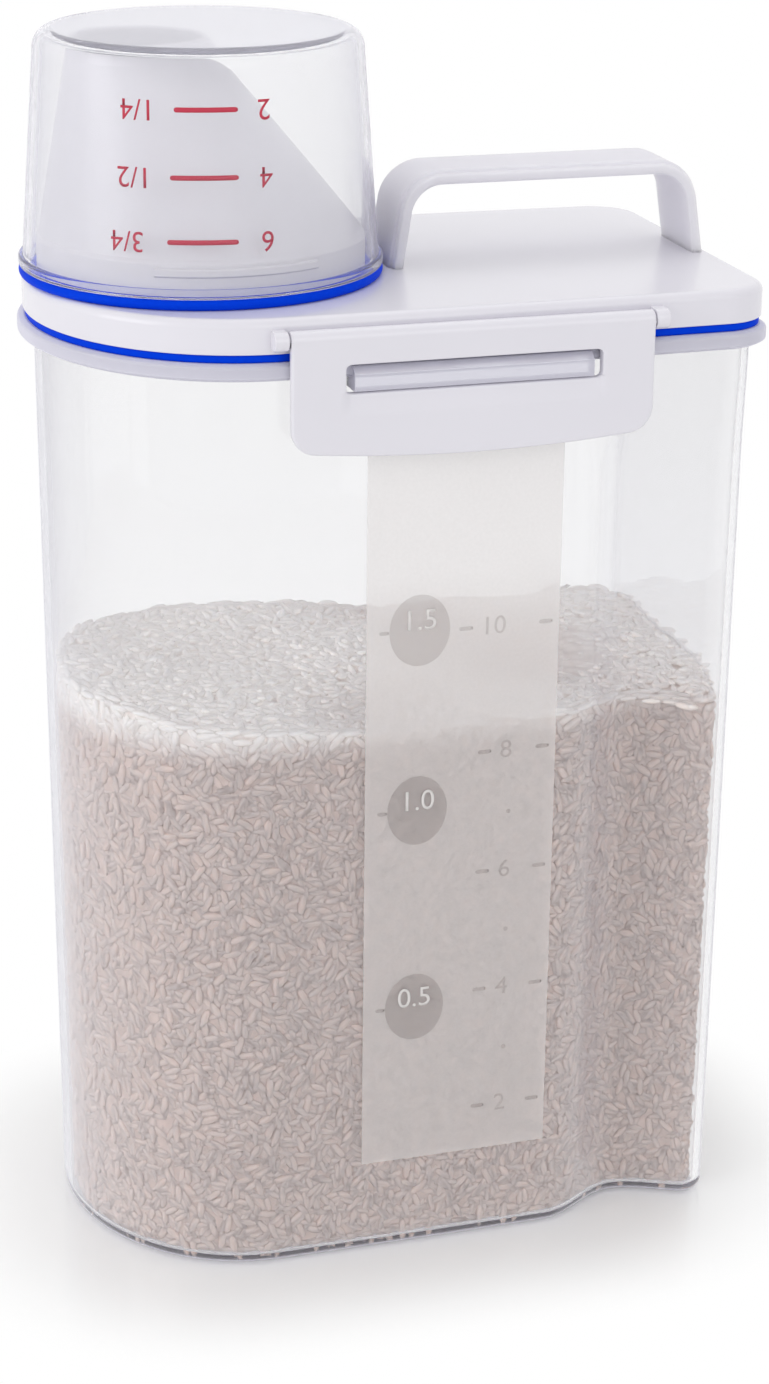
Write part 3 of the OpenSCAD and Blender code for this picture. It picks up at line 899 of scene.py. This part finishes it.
# Carry handle: a strap of the lid's white plastic, bent up into a low arch and joined to the lid's top.
# Its middle is raised a little along the whole length, which leaves a thin border on each side.
handle_x = 41.2
handle_half = 38.7
handle_height = 21.7
handle_lean = math.radians(8.7)
handle_radius = 10
strap_width = 21
strap_thickness = 2.4
crown = 0.7
border = 2.2
handle_centre = (handle_half * math.cos(handle_lean) - handle_radius
                 - (handle_height - handle_radius) * math.sin(handle_lean)) / math.cos(handle_lean)
strap_section = rounded([
    (-strap_width / 2, -strap_thickness, 0.6),
    (strap_width / 2, -strap_thickness, 0.6),
    (strap_width / 2, 0, 0.6),
    (strap_width / 2 - border, 0, 0.15),
    (strap_width / 2 - border - 0.3, crown, 0.4),
    (border + 0.3 - strap_width / 2, crown, 0.4),
    (border - strap_width / 2, 0, 0.15),
    (-strap_width / 2, 0, 0.6)])
foot_drop = 0.3
foot = np.array([handle_half + foot_drop * math.tan(handle_lean), -foot_drop])
bend_start = np.array([handle_centre + handle_radius * math.cos(handle_lean),
                       handle_height - handle_radius + handle_radius * math.sin(handle_lean)])
half_line = [(foot + (bend_start - foot) * share, handle_lean) for share in (0, 0.25, 0.5, 0.75, 1)]
for turn in np.linspace(handle_lean, math.pi / 2, 21)[1:]:
    spot = np.array([handle_centre + handle_radius * math.cos(turn),
                     handle_height - handle_radius + handle_radius * math.sin(turn)])
    half_line.append((spot, turn))
strap_rings = []
for way, line in ((1, half_line), (-1, reversed(half_line))):
    for (x, z), turn in line:
        strap_rings.append([(handle_x + way * x + way * t * math.cos(turn), w, lid_z + z + t * math.sin(turn))
                            for w, t in strap_section])
handle = piece("handle_strap", [skin([np.array(section) for section in strap_rings])], root, sharp=50)
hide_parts("carry_handle")
# Painted shade: the strap's colour is the lid's white made darker and bluer, for the shade its faces are in.
white_plastic("white_handle_plastic_painted_shade", (0.71, 0.695, 0.76, 1), roughness=0.4, coat=0, glow=1).wear(handle)

# Flip latches: one plate of white polypropylene on each long side. Its rolled upper edge turns on two
# pins in the lid's ears, and its slot hooks under the tub's clear rib. A bevel below the slot makes room
# for a fingertip.
latch_drop = 27.6
latch_bow = 2.4
latch_corner = 6
slot_corner = 1.2
scoop_height = 5
scoop_depth = 0.9
pin_radius = 1.25
edge_round = 0.7
slot_lip = 0.4
latch_half = latch_width / 2


def spaced(stretch, count):
    """count points evenly spaced on a stretch of line, without its last."""
    stretch = np.array(stretch)
    run = np.concatenate([[0], np.cumsum(np.hypot(*np.diff(stretch, axis=0).T))])
    spots = np.linspace(0, run[-1], count + 1)[:-1]
    return np.column_stack([np.interp(spots, run, stretch[:, k]) for k in (0, 1)])


def loop_of(bottom, side, top):
    """Closed line from its right half's bottom, side and top, with a set number of points for each."""
    right = np.vstack([spaced(bottom, 48), spaced(side, 28), spaced(top, 44)])
    left = right[:0:-1] * [-1, 1]
    return np.vstack([right, [top[-1]], left])


def latch_outline():
    """Outline of the plate below its pivot, as x and z from the pivot."""
    low = latch_bow - latch_drop
    base_z = low - latch_bow * (1 - ((latch_half - latch_corner) / latch_half) ** 2)
    bottom = [(x, -latch_drop + latch_bow * (x / latch_half) ** 2)
              for x in np.linspace(0, latch_half - latch_corner, 25)]
    corner = [(latch_half - latch_corner + latch_corner * math.sin(a),
               base_z + latch_corner * (1 - math.cos(a))) for a in np.linspace(0, np.pi / 2, 25)]
    return loop_of(bottom + corner[1:13], corner[12:] + [(latch_half, 0)], [(latch_half, 0), (0, 0)])


def slot_outline(grow=0.0):
    """Outline of the slot, with a point for each point of the plate's outline."""
    half_w = slot_width / 2 + grow
    half_h = slot_height / 2 + grow
    corner = slot_corner + grow
    middle = -slot_drop - slot_height / 2
    turn = np.linspace(-np.pi / 2, np.pi / 2, 25)
    bend = [(half_w - corner + corner * math.cos(a),
             middle + (half_h - corner) * (1 if a > 0 else -1) + corner * math.sin(a)) for a in turn]
    return loop_of([(0, middle - half_h)] + bend[:7], bend[6:19], bend[18:] + [(0, middle + half_h)])


def drawn_in(line, inset):
    """A closed line with each point moved inwards."""
    ahead = np.roll(line, -1, 0) - np.roll(line, 1, 0)
    ahead /= np.hypot(*ahead.T)[:, None]
    inwards = np.column_stack([-ahead[:, 1], ahead[:, 0]])
    return line + inwards * np.reshape(inset, (-1, 1))


def latch(side):
    """One latch's plate, on the front (-1) or the back (1)."""
    line = latch_outline()
    edge = edge_round * smooth((-line[:, 1] - 0.05) / 1.2)
    turns = np.radians(np.linspace(0, 90, 8))
    sheets = [lifted(drawn_in(line, edge * (1 - math.sin(a))), edge * (1 - math.cos(a))) for a in turns]
    sheets += [lifted(drawn_in(line, edge * (1 - math.cos(a))), latch_thickness - edge * (1 - math.sin(a)))
               for a in turns]
    face = sheets[-1][:, :2]
    lip = slot_outline(slot_lip)
    for share in np.linspace(0, 1, 30)[1:]:
        sheets.append(lifted(face + (lip - face) * share, latch_thickness))
    for a in np.radians([30, 60, 90]):
        sunk = slot_lip * (1 - math.cos(a))
        sheets.append(lifted(slot_outline(slot_lip * (1 - math.sin(a))), latch_thickness - sunk))
    slot_low = -slot_drop - slot_height
    for sheet in sheets[len(turns) * 2:]:
        share = np.clip(1 - (slot_low - sheet[:, 1]) / scoop_height, 0, 1) * (sheet[:, 1] < slot_low + 0.5)
        share *= smooth((slot_width / 2 + 1 - np.abs(sheet[:, 0])) / 2)
        sheet[:, 2] -= scoop_depth * share
    sheets.append(lifted(slot_outline(), 0))
    return skin([np.column_stack([latch_x + sheet[:, 0], side * (pivot_y + sheet[:, 2]),
                                  pivot_z + sheet[:, 1]]) for sheet in sheets], True)


def turned(side, end, count):
    """Round solid on a latch's axis. end gives its left end as x places along it and the radius at each,
    and the right end mirrors that."""
    turn = np.linspace(0, 2 * np.pi, count, endpoint=False)
    return skin([np.column_stack([np.full(count, latch_x + x), side * pivot_y + r * np.cos(turn),
                                  pivot_z + r * np.sin(turn)])
                 for x, r in end + [(-x, r) for x, r in reversed(end)]])


def pin(side):
    """The two pins, as one rod through the roll. They end just inside the ears' outer faces."""
    reach = latch_half + ear_gap + ear_width - 0.5
    return turned(side, [(-reach, pin_radius - 0.2), (0.2 - reach, pin_radius)], 32)


def roll(side):
    """The rolled upper edge, round the pins."""
    return turned(side, [(-latch_half, latch_thickness - 0.5), (0.15 - latch_half, latch_thickness - 0.15),
                         (0.5 - latch_half, latch_thickness)], 48)


front_flap = piece("front_flap_plate", [latch(-1), roll(-1), pin(-1)], "front_flap")
back_flap = piece("back_flap_plate", [latch(1), roll(1), pin(1)], "back_flap")
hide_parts("front_latch")
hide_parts("back_latch")
for flap in (front_flap, back_flap):
    lid_white.wear(flap)

# Table: a sheet of white gloss plastic, laid flat, that the bin stands on. It takes the bin's soft shadow
# and turns plain white further out.
table_half = 6
table_gap = 0.0002
table_mesh = bpy.data.meshes.new("table")
table_corners = [(x * table_half, y * table_half, 0) for x, y in ((-1, -1), (1, -1), (1, 1), (-1, 1))]
table_mesh.from_pydata(table_corners, [], [(0, 1, 2, 3)])
table = bpy.data.objects.new("table", table_mesh)
bpy.context.collection.objects.link(table)
table.location.z = -table_gap
gloss = Finish("white_gloss_sheet")
from_middle = gloss.node("VectorMath", {"operation": "ABSOLUTE"}, {0: gloss.place()})
core = (0.04, 0.008, 0)
past_core = gloss.node("VectorMath", {"operation": "SUBTRACT"}, {0: from_middle, 1: core})
past_core = gloss.node("VectorMath", {"operation": "MAXIMUM"}, {0: past_core, 1: (0, 0, 0)})
far = gloss.node("VectorMath", {"operation": "LENGTH"}, {0: past_core}, "Value")
base_reach = 0.038
fade = gloss.node("MapRange", {"interpolation_type": "SMOOTHSTEP"}, {
    "Value": far,
    "From Min": base_reach + 0.008,
    "From Max": base_reach + 0.048,
    "To Min": 0.05,
    "To Max": 1})
sheet = gloss.node("BsdfPrincipled", {}, {
    "Base Color": (0.97, 0.97, 0.97, 1),
    "Roughness": 0.08,
    "IOR": 1.8})
plain = gloss.node("Emission", {}, {"Color": (1, 1, 1, 1), "Strength": 1})
share = fade * gloss.ray("Camera") + gloss.ray("Glossy") + gloss.ray("Transmission")
gloss.done(gloss.node("MixShader", {}, {0: share, 1: sheet, 2: plain}))
gloss.wear(table)

# Studio: large soft lamps and a pale room. What the camera, gloss and clear plastic see of the room is
# plain white.
room = Finish("room", "worlds")
bpy.context.scene.world = room.material
seen = room.ray("Camera") + room.ray("Glossy") + room.ray("Transmission")
level = room.node("MapRange", {}, {"Value": seen, "To Min": 0.8, "To Max": 1})
room.done(room.node("Background", {}, {"Color": (1, 1, 1, 1), "Strength": level}), "OutputWorld")


def lamp(name, place, aim, size, watts):
    """Square soft lamp at place, turned to aim."""
    light = bpy.data.lights.new(name, "AREA")
    light.energy = watts
    light.size = size
    stand = bpy.data.objects.new(name, light)
    bpy.context.collection.objects.link(stand)
    stand.location = place
    stand.rotation_euler = (Vector(aim) - Vector(place)).to_track_quat("-Z", "Y").to_euler()


bin_middle = (0, 0, 0.15)
lamp("key_lamp", (-1.55, -0.3, 0.75), bin_middle, 1.0, 6)
lamp("fill_lamp", (0.35, -1.6, 0.9), bin_middle, 0.9, 3)
lamp("top_lamp", (0.1, 0.5, 1.5), bin_middle, 1.0, 2.2)

# Camera: where the photograph was taken from, looking down on the bin from the front left. It is tilted
# sideways by half a degree, and its lens fits the photograph's perspective.
eye = Vector((-0.2055, -0.6920, 0.39474))
aim = Vector((0.004385, 0, 0.12833))
tilt = math.radians(0.54)
ahead = (aim - eye).normalized()
level_right = ahead.cross(Vector((0, 0, 1))).normalized()
level_up = level_right.cross(ahead)
right = level_right * math.cos(tilt) + level_up * math.sin(tilt)
up = level_up * math.cos(tilt) - level_right * math.sin(tilt)
lens = bpy.data.cameras.new("camera")
lens.lens = 80.586
lens.sensor_width = 36
lens.clip_start = 0.01
camera = bpy.data.objects.new("camera", lens)
bpy.context.collection.objects.link(camera)
camera.matrix_world = Matrix.Translation(eye) @ Matrix((right, up, -ahead)).transposed().to_4x4()
bpy.context.scene.camera = camera
bpy.context.scene.view_settings.view_transform = "Standard"
